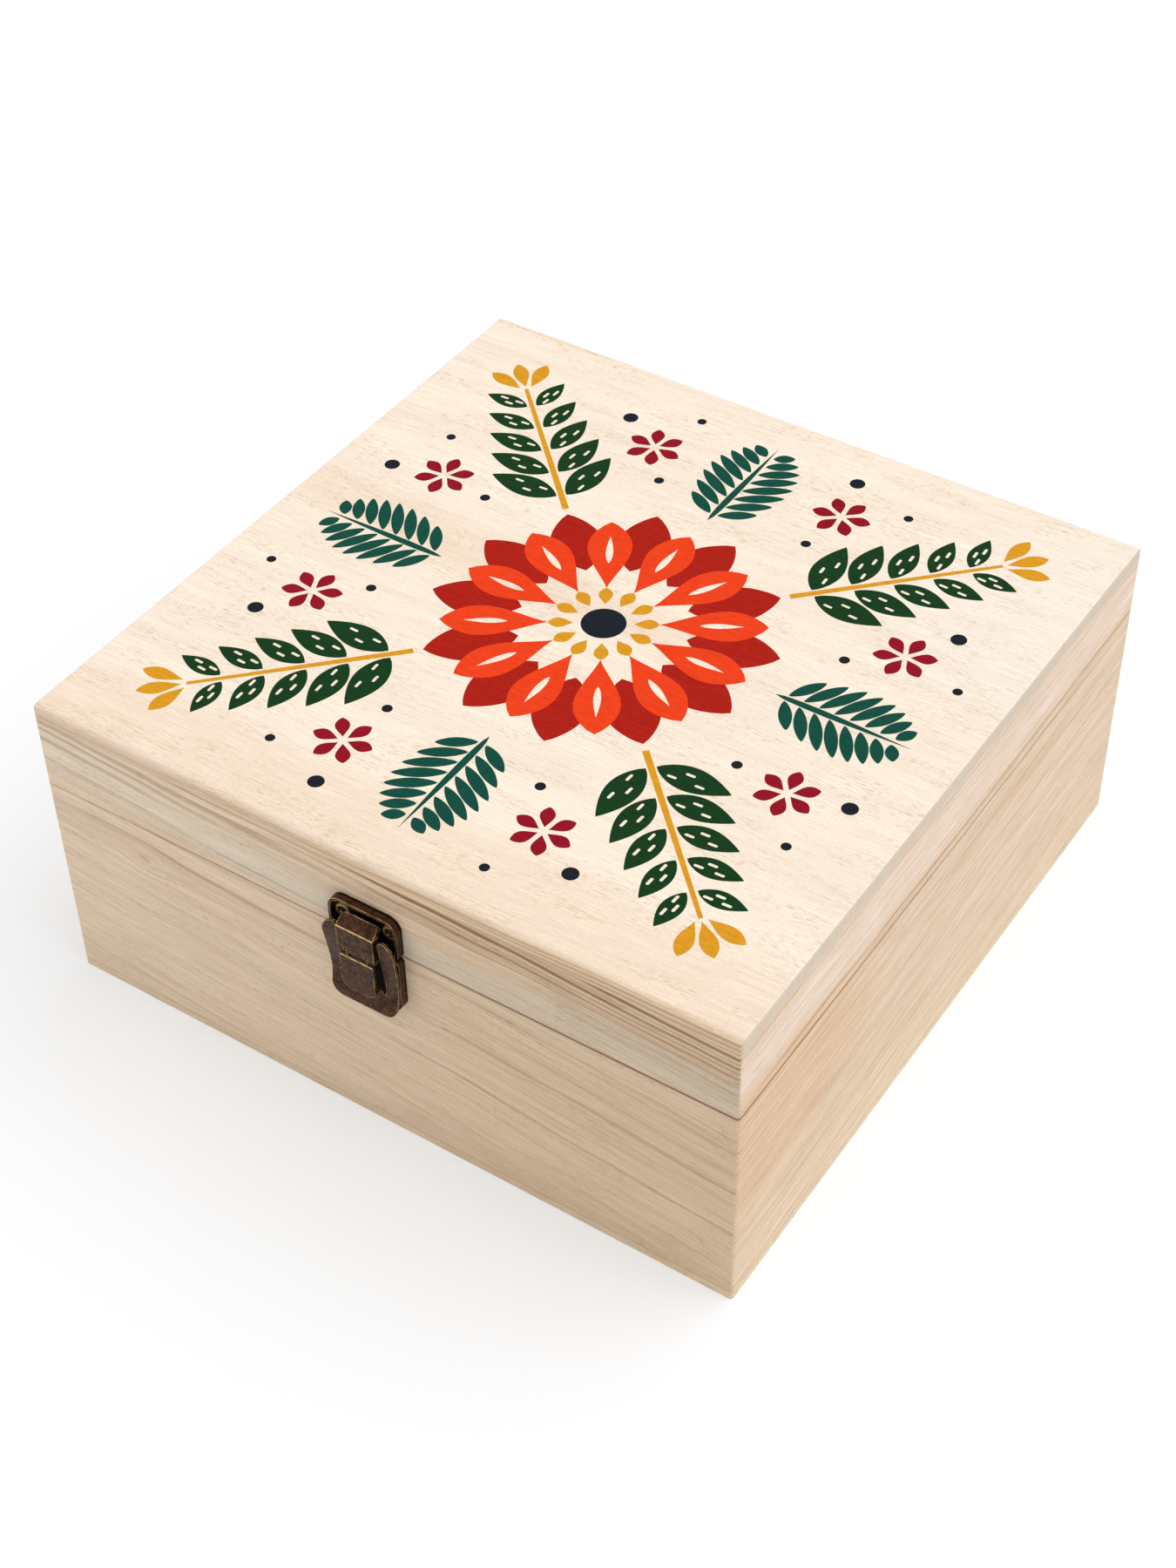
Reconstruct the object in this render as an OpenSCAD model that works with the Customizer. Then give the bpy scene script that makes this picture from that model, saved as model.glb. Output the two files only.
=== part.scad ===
// Square keepsake box in pale wood. The walls are mitred, the lid is topped with three glued boards,
// a small bronze draw latch closes the front and two butt hinges carry the lid at the back.
// Millimetres, +Z up. The origin is the middle of the underside, and the latch faces -Y.

/* [Box] */
// Width of the box
box_w = 250; // [200:5:320]
// Depth of the box
box_d = 250; // [200:5:320]
// Height of the body, from the table to its rim
body_h = 82; // [60:1:110]
// Height of the lid
lid_h = 31.6; // [26:0.2:45]
// Open seam between the body and the closed lid
seam_gap = 0.4; // [0.3:0.1:0.8]
// Thickness of the walls and of the lid's rails
wall_t = 8; // [7.5:0.5:12]
// Thickness of the bottom panel
bottom_t = 3; // [2:0.5:6]
// Radius that eases the upright corners
corner_r = 1.2; // [0.6:0.2:3]

/* [Lid boards] */
// Thickness of the boards on top of the lid
board_t = 5; // [4:0.5:8]
// Width of the front board
board_front_w = 97; // [60:1:110]
// Width of the middle board
board_middle_w = 49; // [30:1:70]
// Rounding of the long front and back edges
board_edge_r = 2.4; // [1:0.2:3]
// Easing of the end-grain edges
board_end_r = 0.8; // [0.4:0.2:1.6]

/* [Latch plates] */
// Width of the catch plate and of the base plate
plate_w = 24.6; // [24:0.2:32]
// Height of the catch plate on the lid
catch_h = 14.6; // [14:0.2:20]
// Height of the base plate on the body
base_h = 21.8; // [21:0.2:26]
// Height of the turned-out rim of both plates
plate_rim_h = 3; // [2.2:0.1:3]
// Thickness of the rim
plate_rim_t = 0.9; // [0.7:0.1:1.2]
// Radius of the plates' outer corners
plate_corner_r = 4.5; // [3:0.5:5]
// Gap between a plate and the edge that it lies at
plate_edge_gap = 0.4; // [0.2:0.1:1]
// Thickness of the stamped sheet of every latch piece
sheet_t = 0.8; // [0.6:0.1:0.9]
// How far the catch tongue stands out of the lid
catch_tongue_h = 2.4; // [1.6:0.1:2.6]

/* [Latch lever] */
// How far each horn of the lever stands out past the plates' sides
horn_flare = 0.7; // [0:0.1:1]
// Width of the lever at its lower end
lever_low_w = 24; // [20:0.2:25]
// How far the lever reaches below the body's rim
lever_drop = 23; // [22.4:0.2:28]
// How far the horns reach above the pivot
horn_reach = 2.8; // [2.4:0.1:3]
// Height of the lever's pivot above the body's rim
pivot_rise = 6; // [5:0.2:6.4]
// Radius of the lever's pivot rivets
rivet_r = 0.7; // [0.5:0.05:0.8]
// Swell of the bow at its horns and at its lower end
bow_swell = 1.85; // [1.8:0.05:2.6]
// Width of the raised thumb tongue
tongue_w = 12.2; // [11:0.2:12.4]
// Drop of the tongue's upper edge below the body's rim
tongue_drop = 2; // [1.8:0.1:3]
// Length of the tongue
tongue_l = 13.8; // [12:0.2:15]

/* [Hook link] */
// Width of the hook link
link_w = 13.2; // [13:0.2:14]
// How far the link's front stands out of the box
link_out = 7; // [6.8:0.1:8]
// Height of the link's ridge above the body's rim
link_ridge = 9.3; // [8:0.1:10]
// Height of the hook above the ridge
hook_rise = 2.6; // [2:0.1:3]
// Radius of the link's rolled lower end
link_roll_r = 1.3; // [1.15:0.05:1.4]
// Radius of the link's pin
link_pin_r = 0.5; // [0.4:0.05:0.6]
// Distance of the pin's lugs from the sides of the tongue
lug_inset = 2; // [1.5:0.1:2.6]
// Clearance between the hook and the catch tongue
hook_gap = 0.45; // [0.3:0.05:0.8]

/* [Hinges] */
// Distance from the side of the box to the middle of a hinge
hinge_inset = 50; // [30:1:80]
// Length of a hinge along its pin
hinge_l = 26; // [20:1:36]
// Height of one hinge leaf
leaf_h = 11; // [9.5:0.5:16]
// Thickness of a hinge leaf
leaf_t = 0.9; // [0.7:0.1:1.2]
// Outer radius of the hinge knuckles
knuckle_r = 1.8; // [1.7:0.1:2.4]
// Radius of the hinge pin
hinge_pin_r = 0.9; // [0.7:0.05:1]
// Distance between the two screws of one leaf
leaf_screw_gap = 16; // [12:1:18]

/* [Fasteners] */
// Radius of a nail or screw shank
shank_r = 0.8; // [0.6:0.05:0.9]
// Length that is driven into the wood
shank_l = 6.5; // [4:0.5:7]
// Radius of the domed head
head_r = 1.5; // [1.2:0.1:1.6]
// Height of the domed head
head_h = 1; // [0.7:0.1:1.2]
// Radial clearance of a shank in its plate, and of a pin in the piece that holds it
hold_gap = 0.03; // [0.01:0.01:0.08]
// Radial running clearance of every pin
run_gap = 0.05; // [0.02:0.01:0.09]
// Side clearance between pieces that turn past each other
side_gap = 0.25; // [0.15:0.05:0.3]

/* [Hidden] */
$fn = 48;

wood_pale = [0.93, 0.86, 0.74];
wood_warm = [0.88, 0.79, 0.66];
wood_cream = [0.96, 0.90, 0.80];
bronze = [0.33, 0.25, 0.20];
bronze_worn = [0.45, 0.34, 0.26];
steel_dark = [0.40, 0.38, 0.36];

// Heights of the main joints between the pieces
lid_z = body_h + seam_gap;
rail_h = lid_h - board_t;
board_z = lid_z + rail_h;
board_back_w = box_d - board_front_w - board_middle_w;

// Bow of the lever: its back clears the plates' rims, and its ends swell outwards from a low waist
rim_clear = 0.3;
bow_low = plate_rim_h + rim_clear + sheet_t;
bow_waist = 13;
bow_reach_up = 20;
bow_reach_down = 10;
bow_low_swell = 1.5;
horn_out = bow_low + bow_swell;

// Pivots of the lever and of the link, as [distance out of the front, height above the body's rim]
pivot_roll_r = rivet_r + 0.6;
ear_r = rivet_r + 0.4;
pivot = [horn_out - pivot_roll_r - 0.1, pivot_rise];
link_pivot = [link_out - link_roll_r, -0.2];

// Places across the latch, from its middle outwards
lever_w = plate_w + 2 * horn_flare;
lug_out = tongue_w / 2 - lug_inset;
lug_in = lug_out - sheet_t;
lug_r = link_pin_r + 0.45;
lug_gap = 0.15;
ear_t = 0.65;
ear_in = link_w / 2 + side_gap;
ear_out = ear_in + ear_t;
horn_in = ear_out + side_gap;
horn_roll_w = 1.5;

// Hook of the link, whose turned-down lip stays clear of the catch tongue
hook_in = catch_tongue_h + hook_gap;
hook_top = link_ridge + hook_rise;
hook_lip = 1.2;

// Catch tongue, bent out of the floor of the catch plate just below the hook's lip
grip_top = hook_top - hook_lip - 0.3;
grip_low = grip_top - 3;
grip_half = 4.4;

// Ears of the base plate: the foot on the floor, and the narrow neck in front of the catch plate
ear_foot = -11;
ear_neck = -4;
ear_neck_w = 0.5;
ear_root_w = 1.4;

// Nails of the latch plates, as [distance from the middle, height above the body's rim]
catch_nail = [8.5, 8.8];
base_nail = [8.3, -16.5];
nail_ring_r = head_r + 0.9;
nail_ring_h = 0.35;
head_gap = 0.2;

// Hinge axis, behind the back face and level with the seam
knuckle_off = 0.2;
hinge_y = box_d / 2 + knuckle_r + knuckle_off;
hinge_z = body_h + seam_gap / 2;
hinge_x = box_w / 2 - hinge_inset;
knuckle_gap = 0.15;
leaf_clear = 0.3;
leaf_corner_r = 1.5;
leaf_screw_z = 6.8;

// Points of an arc in the plane of a profile
function arc(c, r, a0, a1, n = 10) = [for (i = [0:n]) c + r * [cos(a0 + (a1 - a0) * i / n),
    sin(a0 + (a1 - a0) * i / n)]];

// The same outline seen in a mirror, in reverse order so that it carries on from the first
function mirrored(points) = [for (i = [len(points) - 1:-1:0]) [-points[i][0], points[i][1]]];

// Smooth step from 0 to 1
function ease(t) = (1 - cos(180 * min(1, max(0, t)))) / 2;

// Outer face of the bow at height s: low at the waist, swelling to the horns and to the lower end
function bow_face(s) = s > -bow_waist
    ? bow_low + bow_swell * ease((s + bow_waist) / bow_reach_up)
    : bow_low + bow_low_swell * ease((-bow_waist - s) / bow_reach_down);

// Carries a profile drawn as [out of the front, up from the body's rim] along X
module latch_side(x0, x1)
    translate([x0, -box_d / 2, body_h]) mirror([0, 1, 0]) rotate([90, 0, 90])
        linear_extrude(x1 - x0) children();

// Carries an outline drawn as [across, up from the body's rim] out of the front
module latch_front(h0, h1)
    translate([0, -box_d / 2 - h0, body_h]) rotate([90, 0, 0])
        linear_extrude(h1 - h0) children();

// The same piece on both sides of the latch
module both_sides() {
    children();
    mirror([1, 0, 0]) children();
}

// Plate outline from height s0 to s1, with its own radius at the lower and the upper corners
module plate_outline(w, s0, s1, r0, r1) {
    side = concat(arc([w / 2 - r0, s0 + r0], r0, -90, 0), arc([w / 2 - r1, s1 - r1], r1, 0, 90));
    polygon(concat(side, mirrored(side)));
}

// Plan of the box with its eased upright corners
module box_plan() {
    square([box_w - 2 * corner_r, box_d], center = true);
    square([box_w, box_d - 2 * corner_r], center = true);
    for (sx = [-1, 1], sy = [-1, 1])
        translate([sx * (box_w / 2 - corner_r), sy * (box_d / 2 - corner_r)]) circle(corner_r);
}

// One side of a mitred frame: 0 front, 1 right, 2 back, 3 left
module mitred_side(k, h) {
    outer = [for (c = [[-1, -1], [1, -1], [1, 1], [-1, 1], [-1, -1]]) [c[0] * box_w, c[1] * box_d] / 2];
    inner = [for (c = [[-1, -1], [1, -1], [1, 1], [-1, 1], [-1, -1]])
        [c[0] * (box_w / 2 - wall_t), c[1] * (box_d / 2 - wall_t)]];
    linear_extrude(h) intersection() {
        box_plan();
        polygon([outer[k], outer[k + 1], inner[k + 1], inner[k]]);
    }
}

module bottom_panel()
    color(wood_cream) linear_extrude(bottom_t) box_plan();

module body_wall(k)
    color(k % 2 == 0 ? wood_warm : wood_pale)
        translate([0, 0, bottom_t]) mitred_side(k, body_h - bottom_t);

module lid_rail(k)
    color(k % 2 == 0 ? wood_warm : wood_pale)
        translate([0, 0, lid_z]) mitred_side(k, rail_h);

// Section of the top, with both of its upper edges rounded
module eased_section(w, r) {
    translate([-w / 2, 0]) square([w, board_t - r]);
    translate([-w / 2 + r, 0]) square([w - 2 * r, board_t]);
    for (s = [-1, 1]) translate([s * (w / 2 - r), board_t - r]) circle(r);
}

// Board of the top between two distances from the front edge
module lid_board(from, width)
    color(wood_cream) translate([0, 0, board_z]) intersection() {
        linear_extrude(board_t) box_plan();
        translate([0, box_d / 2, 0]) rotate([90, 0, 0])
            linear_extrude(box_d) eased_section(box_w, board_end_r);
        translate([-box_w / 2, 0, 0]) rotate([90, 0, 90])
            linear_extrude(box_w) eased_section(box_d, board_edge_r);
        translate([-box_w / 2, from - box_d / 2, 0]) cube([box_w, width, board_t]);
    }

// Domed nail along the out axis, with its head seated at height seat
module domed_nail(seat) {
    dome_r = (head_r * head_r + head_h * head_h) / (2 * head_h);
    tip_l = shank_r * 2;
    translate([0, 0, seat]) intersection() {
        cylinder(r = head_r, h = head_h);
        translate([0, 0, head_h - dome_r]) sphere(dome_r, $fn = 64);
    }
    translate([0, 0, -shank_l + tip_l]) cylinder(r = shank_r, h = shank_l - tip_l + seat + head_h / 2);
    translate([0, 0, -shank_l]) cylinder(r1 = shank_r * 0.2, r2 = shank_r, h = tip_l);
}

// Places a child that points out of the front at [across, height above the body's rim]
module on_front(at)
    translate([at[0], -box_d / 2, body_h + at[1]]) rotate([90, 0, 0]) children();

module latch_nails(at)
    color(bronze) both_sides() on_front(at) domed_nail(sheet_t);

// Stamped pan: sheet floor, turned-out rim and a raised ring round each nail
module latch_pan(s0, s1, r0, r1, at) {
    inset = plate_rim_t;
    difference() {
        union() {
            difference() {
                latch_front(0, plate_rim_h) plate_outline(plate_w, s0, s1, r0, r1);
                latch_front(sheet_t, plate_rim_h + 1)
                    plate_outline(plate_w - 2 * inset, s0 + inset, s1 - inset,
                        max(0.2, r0 - inset), max(0.2, r1 - inset));
            }
            both_sides() on_front(at) cylinder(r = nail_ring_r, h = sheet_t + nail_ring_h);
        }
        both_sides() on_front(at) {
            translate([0, 0, -1]) cylinder(r = shank_r + hold_gap, h = plate_rim_h + 2);
            translate([0, 0, sheet_t]) cylinder(r = head_r + head_gap, h = plate_rim_h);
        }
    }
}

plate_small_r = 1;
catch_s0 = seam_gap + plate_edge_gap;
base_s1 = -plate_edge_gap;

// Catch plate on the lid. Its rim is open at the seam, and a bent-out tongue is what the hook grips
module catch_plate() {
    open_half = plate_w / 2 - plate_rim_t - plate_small_r;
    color(bronze) {
        difference() {
            latch_pan(catch_s0, catch_s0 + catch_h, plate_small_r, plate_corner_r, catch_nail);
            latch_front(sheet_t, plate_rim_h + 1)
                translate([-open_half, catch_s0 - 1]) square([2 * open_half, plate_rim_t + 2]);
        }
        latch_side(-grip_half, grip_half)
            polygon([[sheet_t / 2, grip_low], [sheet_t / 2, grip_low + 1.2], [catch_tongue_h - 0.5, grip_top],
                [catch_tongue_h, grip_top - 0.3], [catch_tongue_h, grip_top - 1], [sheet_t, grip_low]]);
    }
}

// Base plate on the body, with two ears that rise in front of the catch plate and carry the lever
module latch_base_plate() {
    ear_clear = plate_rim_h + rim_clear;
    color(bronze) {
        latch_pan(base_s1 - base_h, base_s1, plate_corner_r, plate_small_r, base_nail);
        both_sides() difference() {
            latch_side(ear_in, ear_out) {
                polygon([[sheet_t / 2, ear_foot], [sheet_t / 2, base_s1 - plate_rim_t / 2],
                    [ear_clear, base_s1 - 0.1], [pivot[0] - ear_r, pivot[1]], [pivot[0] + ear_r, pivot[1]],
                    [ear_clear + ear_root_w, 0], [ear_clear + ear_neck_w, ear_neck], [sheet_t, ear_foot]]);
                translate(pivot) circle(ear_r);
            }
            latch_side(ear_in - 1, ear_out + 1) translate(pivot) circle(rivet_r + hold_gap);
        }
    }
}

// Front view of the bow: rounded lower corners, sides that widen upwards and two horns, each rounded
// by a wide arc that runs into a small one at its tip. A slot on each side frees the tongue
module bow_outline() {
    low_r = 4.5;
    horn_r = 6.2;
    tip_r = 1.25;
    slot_r = (horn_in - tongue_w / 2 - side_gap) / 2;
    slot_s = -tongue_drop - tongue_l + 1.3;
    tip = [horn_in + tip_r, pivot_rise + horn_reach - tip_r];
    horn_end = acos((tip[0] - lever_w / 2 + horn_r) / (horn_r - tip_r));
    horn = tip - (horn_r - tip_r) * [cos(horn_end), sin(horn_end)];
    side = concat(
        arc([lever_low_w / 2 - low_r, -lever_drop + low_r], low_r, -90, 0),
        arc(horn, horn_r, 0, horn_end),
        arc(tip, tip_r, horn_end + 10, 180, 6),
        arc([horn_in - slot_r, slot_s], slot_r, 0, -180, 8));
    polygon(concat(side, mirrored(side)));
}

// Side view of the bow's sheet
module bow_section() {
    n = 28;
    s_top = pivot_rise + horn_reach;
    heights = [for (i = [0:n]) -lever_drop + (s_top + lever_drop) * i / n];
    polygon(concat([for (s = heights) [bow_face(s), s]],
        [for (i = [n:-1:0]) [bow_face(heights[i]) - sheet_t, heights[i]]]));
}

tongue_out = link_out + 0.2;
tongue_low = -tongue_drop - tongue_l;

// Raised thumb tongue: a flat plate whose lower edge steps down to the bow in a rounded wall
module lever_tongue() {
    r = 3.2;
    step_h = 4;
    foot = bow_low - sheet_t / 2;
    back = tongue_out - sheet_t;
    latch_front(back, tongue_out) plate_outline(tongue_w, tongue_low, -tongue_drop, r, 0.3);
    intersection() {
        difference() {
            latch_front(foot, tongue_out)
                plate_outline(tongue_w, tongue_low, tongue_low + step_h, r, 0.3);
            latch_front(foot - 1, back)
                plate_outline(tongue_w - 2 * sheet_t, tongue_low + sheet_t, tongue_low + step_h + 1,
                    r - sheet_t, 0.3);
        }
        // The wall is deep at the tongue's lower edge and runs out along its sides
        latch_side(-tongue_w, tongue_w)
            polygon([[foot, tongue_low - 1], [foot, tongue_low + 1.4], [back, tongue_low + step_h],
                [tongue_out, tongue_low + step_h], [tongue_out, tongue_low - 1]]);
    }
}

// Lever: bow and tongue in one sheet, rolled round the rivets behind its horns,
// with two lugs behind the tongue that hold the link's pin
module latch_lever()
    color(bronze_worn) difference() {
        union() {
            intersection() {
                latch_side(-lever_w / 2, lever_w / 2) bow_section();
                latch_front(0, horn_out + 1) bow_outline();
            }
            lever_tongue();
            both_sides() {
                latch_side(horn_in, horn_in + horn_roll_w) translate(pivot) circle(pivot_roll_r);
                latch_side(lug_in, lug_out) {
                    translate(link_pivot) circle(lug_r);
                    polygon([link_pivot + [-lug_r, 0], link_pivot + [lug_r, 0],
                        [tongue_out - sheet_t / 2, -tongue_drop - 0.4],
                        [tongue_out - sheet_t / 2, -tongue_drop - 4.6],
                        [tongue_out - sheet_t, -tongue_drop - 4.6]]);
                }
            }
        }
        latch_side(-lever_w / 2, lever_w / 2) translate(pivot) circle(rivet_r + run_gap);
        latch_side(-lug_out - 1, lug_out + 1) translate(link_pivot) circle(link_pin_r + hold_gap);
    }

module lever_rivets()
    color(bronze) both_sides()
        latch_side(ear_in, horn_in + horn_roll_w - 0.05) translate(pivot) circle(rivet_r);

// Hook link: rolled lower end notched for the lever's lugs, flat front, sloping top,
// turned-down lip and two side skirts
module hook_link() {
    back = link_out - sheet_t;
    low = link_pivot[1];
    notch_top = low + lug_r + 0.4;
    ridge_r = 0.5;
    slope = atan2(hook_rise, link_out - hook_in);
    ridge = [link_out - ridge_r, link_ridge - ridge_r * tan((90 - slope) / 2)];
    skirt_deep = 1.6;
    outer_face = concat([[link_out, low]], arc(ridge, ridge_r, 0, 90 - slope, 6),
        [[hook_in + 0.3, hook_top], [hook_in, hook_top - 0.3], [hook_in, hook_top - hook_lip]]);
    inner_face = [[hook_in + sheet_t, hook_top - hook_lip], [hook_in + sheet_t, hook_top - 1.25],
        [back, link_ridge - 0.75], [back, low]];
    skirt = [[back + 0.1, low], [link_pivot[0], low], [back - skirt_deep, low + 2],
        [back - skirt_deep, link_ridge - 1.8], [hook_in + sheet_t, hook_top - hook_lip],
        [hook_in + sheet_t, hook_top - 1], [back + 0.1, link_ridge - 0.6]];
    color(bronze_worn) difference() {
        intersection() {
            union() {
                latch_side(-link_w / 2, link_w / 2) {
                    polygon(concat(outer_face, inner_face));
                    translate(link_pivot) circle(link_roll_r);
                }
                both_sides() latch_side(link_w / 2 - sheet_t, link_w / 2) polygon(skirt);
            }
            latch_front(0, link_out + 1) plate_outline(link_w, low - link_roll_r, hook_top, 0.5, 1.6);
        }
        both_sides() latch_side(lug_in - lug_gap, lug_out + lug_gap)
            translate([0, low - link_roll_r - 1]) square([link_out + 1, notch_top - low + link_roll_r + 1]);
        latch_side(-link_w, link_w) translate(link_pivot) circle(link_pin_r + run_gap);
    }
}

module link_pin()
    color(steel_dark) latch_side(-link_w / 2 + 0.3, link_w / 2 - 0.3)
        translate(link_pivot) circle(link_pin_r);

// Carries a profile drawn as [behind the hinge axis, above it] along X
module hinge_side(x0, x1)
    translate([x0, hinge_y, hinge_z]) rotate([90, 0, 90]) linear_extrude(x1 - x0) children();

// One hinge leaf, upwards or downwards from the axis, with the knuckles of its own thirds
module hinge_leaf(x, up, thirds) {
    third = hinge_l / 3;
    leaf_in = box_d / 2 - hinge_y;
    free_s = knuckle_r + leaf_clear;
    color(bronze) difference() {
        union() {
            // The leaf's plate, clear of the other leaf's knuckles
            translate([x, box_d / 2 + leaf_t, hinge_z]) rotate([90, 0, 0]) linear_extrude(leaf_t)
                mirror([0, up > 0 ? 0 : 1]) plate_outline(hinge_l, free_s, leaf_h, 0.3, leaf_corner_r);
            for (k = thirds) {
                x0 = x - hinge_l / 2 + k * third + (k == 0 ? 0 : knuckle_gap);
                x1 = x - hinge_l / 2 + (k + 1) * third - (k == 2 ? 0 : knuckle_gap);
                hinge_side(x0, x1) {
                    circle(knuckle_r);
                    translate([leaf_in, up > 0 ? 0 : -free_s - 0.5]) square([leaf_t, free_s + 0.5]);
                }
            }
        }
        hinge_side(x - hinge_l, x + hinge_l) circle(hinge_pin_r + run_gap);
        for (s = [-1, 1]) translate([x + s * leaf_screw_gap / 2, box_d / 2, hinge_z + up * leaf_screw_z])
            rotate([-90, 0, 0]) translate([0, 0, -1]) cylinder(r = shank_r + hold_gap, h = leaf_t + 2);
    }
}

module hinge_pin(x)
    color(steel_dark) hinge_side(x - hinge_l / 2, x + hinge_l / 2) circle(hinge_pin_r);

// The screws of both hinges on one side of the axis
module hinge_screws(up)
    color(bronze) for (x = [-hinge_x, hinge_x], s = [-1, 1])
        translate([x + s * leaf_screw_gap / 2, box_d / 2, hinge_z + up * leaf_screw_z])
            rotate([-90, 0, 0]) domed_nail(leaf_t);

bottom_panel();
body_wall(0);  // front_wall
body_wall(1);  // right_wall
body_wall(2);  // back_wall
body_wall(3);  // left_wall
lid_rail(0);  // lid_front_rail
lid_rail(1);  // lid_right_rail
lid_rail(2);  // lid_back_rail
lid_rail(3);  // lid_left_rail
lid_board(0, board_front_w);  // lid_board_front
lid_board(board_front_w, board_middle_w);  // lid_board_middle
lid_board(board_front_w + board_middle_w, board_back_w);  // lid_board_back
catch_plate();
latch_nails(catch_nail);  // catch_plate_nails
latch_base_plate();
latch_nails(base_nail);  // latch_base_nails
latch_lever();
lever_rivets();
hook_link();
link_pin();
hinge_leaf(-hinge_x, -1, [0, 2]);  // hinge_left_body_leaf
hinge_leaf(-hinge_x, 1, [1]);  // hinge_left_lid_leaf
hinge_pin(-hinge_x);  // hinge_left_pin
hinge_leaf(hinge_x, -1, [0, 2]);  // hinge_right_body_leaf
hinge_leaf(hinge_x, 1, [1]);  // hinge_right_lid_leaf
hinge_pin(hinge_x);  // hinge_right_pin
hinge_screws(-1);  // hinge_body_screws
hinge_screws(1);  // hinge_lid_screws
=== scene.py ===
"""Looks for the wooden keepsake box: woods, aged bronze, the print on the lid, camera, lights and floor."""

import math

import bmesh
import bpy
from mathutils import Matrix, Vector
from mathutils.geometry import tessellate_polygon


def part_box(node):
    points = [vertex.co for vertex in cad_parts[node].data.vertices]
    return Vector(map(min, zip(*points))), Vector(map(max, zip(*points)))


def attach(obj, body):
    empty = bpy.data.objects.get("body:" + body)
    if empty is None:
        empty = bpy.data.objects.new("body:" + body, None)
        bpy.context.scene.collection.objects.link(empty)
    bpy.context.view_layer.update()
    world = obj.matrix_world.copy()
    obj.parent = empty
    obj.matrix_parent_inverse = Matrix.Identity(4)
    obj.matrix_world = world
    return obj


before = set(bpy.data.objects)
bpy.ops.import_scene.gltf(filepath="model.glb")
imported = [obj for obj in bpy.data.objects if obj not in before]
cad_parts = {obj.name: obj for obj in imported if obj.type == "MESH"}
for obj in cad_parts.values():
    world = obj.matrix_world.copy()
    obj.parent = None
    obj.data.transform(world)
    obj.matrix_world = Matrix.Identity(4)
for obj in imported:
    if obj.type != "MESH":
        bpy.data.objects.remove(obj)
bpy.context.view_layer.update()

MM = 0.001
X, Y, Z = 0, 1, 2
WHITE = (1, 1, 1, 1)

# Camera
LENS = 59.7
SENSOR_HEIGHT = 36.0
NEAR_CLIP = 0.01
CAMERA_AT = Vector((0.34472, -0.51972, 0.63403))
CAMERA_FORWARD = Vector((-0.40757, 0.6022, -0.68647))
CAMERA_RIGHT = Vector((0.83539, 0.54948, -0.01396))

# Light, with the spread in degrees
SKY_LEVEL = 0.63
SUN_FROM = Vector((0.42, 0.28, 0.86))
SUN_STRENGTH = 1.4
SUN_SPREAD = 60.0

# Floor: the grey that lights the box, and the grey and the glow that the camera sees
FLOOR_GREY = (0.8, 0.8, 0.8, 1)
FLOOR_SEEN = (0.59, 0.6, 0.613, 1)
FLOOR_GLOW = 0.42
FLOOR_REACH = 4.0
FLOOR_LEVEL = -0.0001

# Sizes of the box, in millimetres
LID_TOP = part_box("lid_board_front")[1][Z] / MM
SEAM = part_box("lid_front_rail")[0][Z] / MM
HALF_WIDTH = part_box("front_wall")[1][X] / MM


def srgb(red, green, blue):
    """A screen colour from 0 to 255 as the linear colour that nodes take."""
    def channel(value):
        value = value / 255
        return value / 12.92 if value <= 0.04045 else ((value + 0.055) / 1.055) ** 2.4
    return (channel(red), channel(green), channel(blue), 1.0)


def scaled(colour, share):
    """A linear colour made darker or lighter."""
    return [min(1.0, value * share) for value in colour[:3]] + [1.0]


class Nodes:
    """Short calls that add nodes to a tree. A value is a number, a colour or a socket."""

    # Sockets of a Mix node that mixes colours
    MIX_FIRST, MIX_SECOND, MIX_RESULT = 6, 7, 2

    def __init__(self, tree):
        self.tree = tree

    def node(self, kind, **settings):
        made = self.tree.nodes.new(kind)
        for key, value in settings.items():
            setattr(made, key, value)
        return made

    def feed(self, socket, value):
        if isinstance(value, bpy.types.NodeSocket):
            self.tree.links.new(value, socket)
        else:
            socket.default_value = value

    def math(self, operation, *values, clamp=False):
        made = self.node("ShaderNodeMath", operation=operation, use_clamp=clamp)
        for socket, value in zip(made.inputs, values):
            self.feed(socket, value)
        return made.outputs[0]

    def add(self, a, b):
        return self.math("ADD", a, b)

    def minus(self, a, b):
        return self.math("SUBTRACT", a, b)

    def times(self, a, b):
        return self.math("MULTIPLY", a, b)

    def apart(self, a, b):
        """How far two values are from each other."""
        return self.math("ABSOLUTE", self.minus(a, b))

    def product(self, *values):
        result = values[0]
        for value in values[1:]:
            result = self.times(result, value)
        return result

    def total(self, values):
        result = values[0]
        for value in values[1:]:
            result = self.add(result, value)
        return result

    def split(self, vector):
        """The three parts of a vector."""
        made = self.node("ShaderNodeSeparateXYZ")
        self.feed(made.inputs[0], vector)
        return list(made.outputs)

    def mix(self, share, first, second, mode="MIX"):
        made = self.node("ShaderNodeMix", data_type="RGBA", blend_type=mode)
        self.feed(made.inputs["Factor"], share)
        self.feed(made.inputs[self.MIX_FIRST], first)
        self.feed(made.inputs[self.MIX_SECOND], second)
        return made.outputs[self.MIX_RESULT]

    def seen_directly(self):
        """1 for rays from the camera and for mirror-like rays, else 0."""
        path = self.node("ShaderNodeLightPath")
        seen = path.outputs["Is Camera Ray"]
        for ray in ("Is Glossy Ray", "Is Transmission Ray"):
            seen = self.math("ADD", seen, path.outputs[ray], clamp=True)
        return seen


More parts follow.
